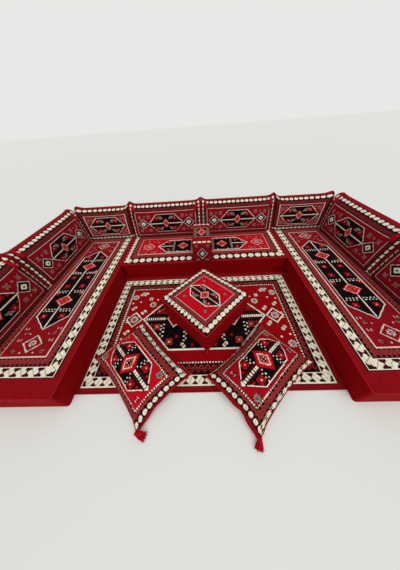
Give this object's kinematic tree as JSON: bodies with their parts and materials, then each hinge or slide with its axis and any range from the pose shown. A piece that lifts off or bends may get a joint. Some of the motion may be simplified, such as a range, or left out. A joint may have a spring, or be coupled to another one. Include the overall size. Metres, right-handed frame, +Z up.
{
  "type": "majlis floor sofa",
  "caption": "U-shaped floor sofa set with low seats, back cushions, armrest, pouf, throw pillows and rug in a woven red, black and cream kilim pattern",
  "frame": {"origin": "on the floor under the middle of the rug", "axes": "+Z up, +Y towards the back wall, +X towards the right seat as seen from the open side"},
  "size_m": [2.8216, 1.9199, 0.4989],
  "materials": {
    "kilim_cover": "woven chenille kilim pattern in red, black and cream, with plain deep red velvet sides",
    "rug_weave": "flat-woven kilim rug with a low pile, red, black and cream",
    "rug_binding_tape": "dark red woven tape",
    "piping_cord": "red twisted cord under cloth",
    "tassel_yarn": "soft crimson yarn",
    "foam": "open-cell foam",
    "fibre_filling": "matted polyester fibre",
    "zip_metal": "nickel plated"
  },
  "bodies": {
    "root": {"rug": "rug_weave", "rug_binding": "rug_binding_tape", "centre_seat_cover": "kilim_cover", "centre_seat_foam": "foam", "centre_seat_piping": "piping_cord", "left_seat_cover": "kilim_cover", "left_seat_foam": "foam", "left_seat_piping": "piping_cord", "right_seat_cover": "kilim_cover", "right_seat_foam": "foam", "right_seat_piping": "piping_cord"},
    "back_cushion_left": {"back_cushion_left_cover": "kilim_cover", "back_cushion_left_filling": "fibre_filling", "back_cushion_left_tassels": "tassel_yarn"},
    "back_cushion_right": {"back_cushion_right_cover": "kilim_cover", "back_cushion_right_filling": "fibre_filling", "back_cushion_right_tassels": "tassel_yarn"},
    "left_side_cushion_1": {"left_side_cushion_1_cover": "kilim_cover", "left_side_cushion_1_filling": "fibre_filling", "left_side_cushion_1_tassels": "tassel_yarn"},
    "left_side_cushion_2": {"left_side_cushion_2_cover": "kilim_cover", "left_side_cushion_2_filling": "fibre_filling", "left_side_cushion_2_tassels": "tassel_yarn"},
    "right_side_cushion_1": {"right_side_cushion_1_cover": "kilim_cover", "right_side_cushion_1_filling": "fibre_filling", "right_side_cushion_1_tassels": "tassel_yarn"},
    "right_side_cushion_2": {"right_side_cushion_2_cover": "kilim_cover", "right_side_cushion_2_filling": "fibre_filling", "right_side_cushion_2_tassels": "tassel_yarn"},
    "corner_cushion_left": {"corner_cushion_left_cover": "kilim_cover", "corner_cushion_left_filling": "fibre_filling"},
    "corner_cushion_right": {"corner_cushion_right_cover": "kilim_cover", "corner_cushion_right_filling": "fibre_filling"},
    "armrest": {"armrest_cover": "kilim_cover", "armrest_foam": "foam"},
    "pouf": {"pouf_cover": "kilim_cover", "pouf_foam": "foam", "pouf_piping": "piping_cord", "pouf_tassels": "tassel_yarn"},
    "left_pillow": {"left_pillow_cover": "kilim_cover", "left_pillow_filling": "fibre_filling", "left_pillow_tassel": "tassel_yarn"},
    "right_pillow": {"right_pillow_cover": "kilim_cover", "right_pillow_filling": "fibre_filling", "right_pillow_tassel": "tassel_yarn"},
    "centre_seat_zip_slider": {"centre_seat_zip_slider": "zip_metal"},
    "left_seat_zip_slider": {"left_seat_zip_slider": "zip_metal"},
    "right_seat_zip_slider": {"right_seat_zip_slider": "zip_metal"},
    "back_cushion_left_zip_slider": {"back_cushion_left_zip_slider": "zip_metal"},
    "back_cushion_right_zip_slider": {"back_cushion_right_zip_slider": "zip_metal"},
    "left_side_cushion_1_zip_slider": {"left_side_cushion_1_zip_slider": "zip_metal"},
    "left_side_cushion_2_zip_slider": {"left_side_cushion_2_zip_slider": "zip_metal"},
    "right_side_cushion_1_zip_slider": {"right_side_cushion_1_zip_slider": "zip_metal"},
    "right_side_cushion_2_zip_slider": {"right_side_cushion_2_zip_slider": "zip_metal"},
    "corner_cushion_left_zip_slider": {"corner_cushion_left_zip_slider": "zip_metal"},
    "corner_cushion_right_zip_slider": {"corner_cushion_right_zip_slider": "zip_metal"},
    "armrest_zip_slider": {"armrest_zip_slider": "zip_metal"},
    "pouf_zip_slider": {"pouf_zip_slider": "zip_metal"},
    "left_pillow_zip_slider": {"left_pillow_zip_slider": "zip_metal"},
    "right_pillow_zip_slider": {"right_pillow_zip_slider": "zip_metal"}
  },
  "joints": [
    {"name": "back_cushion_left_lift", "type": "slide", "parent": "root", "child": "back_cushion_left", "axis": [0, 0, 1], "range_m": [0, 0.4]},
    {"name": "back_cushion_right_lift", "type": "slide", "parent": "root", "child": "back_cushion_right", "axis": [0, 0, 1], "range_m": [0, 0.4]},
    {"name": "left_side_cushion_1_lift", "type": "slide", "parent": "root", "child": "left_side_cushion_1", "axis": [0, 0, 1], "range_m": [0, 0.4]},
    {"name": "left_side_cushion_2_lift", "type": "slide", "parent": "root", "child": "left_side_cushion_2", "axis": [0, 0, 1], "range_m": [0, 0.4]},
    {"name": "right_side_cushion_1_lift", "type": "slide", "parent": "root", "child": "right_side_cushion_1", "axis": [0, 0, 1], "range_m": [0, 0.4]},
    {"name": "right_side_cushion_2_lift", "type": "slide", "parent": "root", "child": "right_side_cushion_2", "axis": [0, 0, 1], "range_m": [0, 0.4]},
    {"name": "corner_cushion_left_lift", "type": "slide", "parent": "root", "child": "corner_cushion_left", "axis": [0, 0, 1], "range_m": [0, 0.4]},
    {"name": "corner_cushion_right_lift", "type": "slide", "parent": "root", "child": "corner_cushion_right", "axis": [0, 0, 1], "range_m": [0, 0.4]},
    {"name": "armrest_lift", "type": "slide", "parent": "root", "child": "armrest", "axis": [0, 0, 1], "range_m": [0, 0.4]},
    {"name": "pouf_lift", "type": "slide", "parent": "root", "child": "pouf", "axis": [0, 0, 1], "range_m": [0, 0.4]},
    {"name": "left_pillow_lift", "type": "slide", "parent": "root", "child": "left_pillow", "axis": [0, 0, 1], "range_m": [0, 0.3]},
    {"name": "right_pillow_lift", "type": "slide", "parent": "root", "child": "right_pillow", "axis": [0, 0, 1], "range_m": [0, 0.3]},
    {"name": "centre_seat_zip", "type": "slide", "parent": "root", "child": "centre_seat_zip_slider", "axis": [1, 0, 0], "range_m": [0, 0.9652]},
    {"name": "left_seat_zip", "type": "slide", "parent": "root", "child": "left_seat_zip_slider", "axis": [0, 1, 0], "range_m": [0, 1.1764]},
    {"name": "right_seat_zip", "type": "slide", "parent": "root", "child": "right_seat_zip_slider", "axis": [0, -1, 0], "range_m": [0, 1.1764]},
    {"name": "back_cushion_left_zip", "type": "slide", "parent": "back_cushion_left", "child": "back_cushion_left_zip_slider", "axis": [1, 0, 0], "range_m": [0, 0.5864]},
    {"name": "back_cushion_right_zip", "type": "slide", "parent": "back_cushion_right", "child": "back_cushion_right_zip_slider", "axis": [1, 0, 0], "range_m": [0, 0.5864]},
    {"name": "left_side_cushion_1_zip", "type": "slide", "parent": "left_side_cushion_1", "child": "left_side_cushion_1_zip_slider", "axis": [0, 1, 0], "range_m": [0, 0.5864]},
    {"name": "left_side_cushion_2_zip", "type": "slide", "parent": "left_side_cushion_2", "child": "left_side_cushion_2_zip_slider", "axis": [0, 1, 0], "range_m": [0, 0.5864]},
    {"name": "right_side_cushion_1_zip", "type": "slide", "parent": "right_side_cushion_1", "child": "right_side_cushion_1_zip_slider", "axis": [0, -1, 0], "range_m": [0, 0.5864]},
    {"name": "right_side_cushion_2_zip", "type": "slide", "parent": "right_side_cushion_2", "child": "right_side_cushion_2_zip_slider", "axis": [0, -1, 0], "range_m": [0, 0.5864]},
    {"name": "corner_cushion_left_zip", "type": "slide", "parent": "corner_cushion_left", "child": "corner_cushion_left_zip_slider", "axis": [1, 0, 0], "range_m": [0, 0.3364]},
    {"name": "corner_cushion_right_zip", "type": "slide", "parent": "corner_cushion_right", "child": "corner_cushion_right_zip_slider", "axis": [1, 0, 0], "range_m": [0, 0.3364]},
    {"name": "armrest_zip", "type": "slide", "parent": "armrest", "child": "armrest_zip_slider", "axis": [0, 1, 0], "range_m": [0, 0.2164]},
    {"name": "pouf_zip", "type": "slide", "parent": "pouf", "child": "pouf_zip_slider", "axis": [0.7022, 0.712, 0], "range_m": [0, 0.2914]},
    {"name": "left_pillow_zip", "type": "slide", "parent": "left_pillow", "child": "left_pillow_zip_slider", "axis": [-0.7009, 0.7133, 0], "range_m": [0, 0.3444]},
    {"name": "right_pillow_zip", "type": "slide", "parent": "right_pillow", "child": "right_pillow_zip_slider", "axis": [0.7524, 0.6587, 0], "range_m": [0, 0.3444]}
  ]
}
